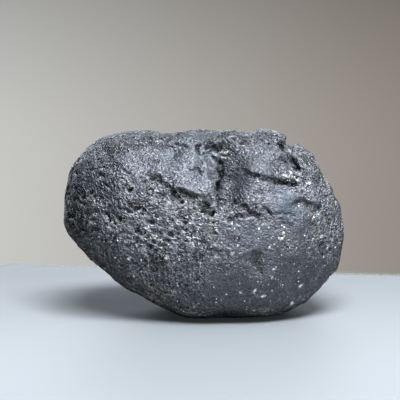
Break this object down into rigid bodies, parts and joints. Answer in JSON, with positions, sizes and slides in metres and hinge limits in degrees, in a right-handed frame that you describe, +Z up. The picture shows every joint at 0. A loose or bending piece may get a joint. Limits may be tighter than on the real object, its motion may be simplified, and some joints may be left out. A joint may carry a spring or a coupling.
{
  "type": "indochinite tektite",
  "caption": "Rounded flattened lump of black natural glass with an etched, pitted and creased skin, standing on its lower edge.",
  "frame": {"origin": "on the plane that the stone rests on, under the middle of its length and of its thickness", "axes": "+X along the length, towards the end with the notch above and below it; -Y is the way the broad front face looks; +Z is up as it stands"},
  "size_m": [0.0596, 0.0334, 0.0395],
  "materials": {
    "tektite_glass": "opaque black natural glass, weathered: satin on the smooth faces and finely pitted and glinting elsewhere, with pale dust in the pits"
  },
  "bodies": {
    "root": {"tektite": "tektite_glass"}
  },
  "joints": []
}
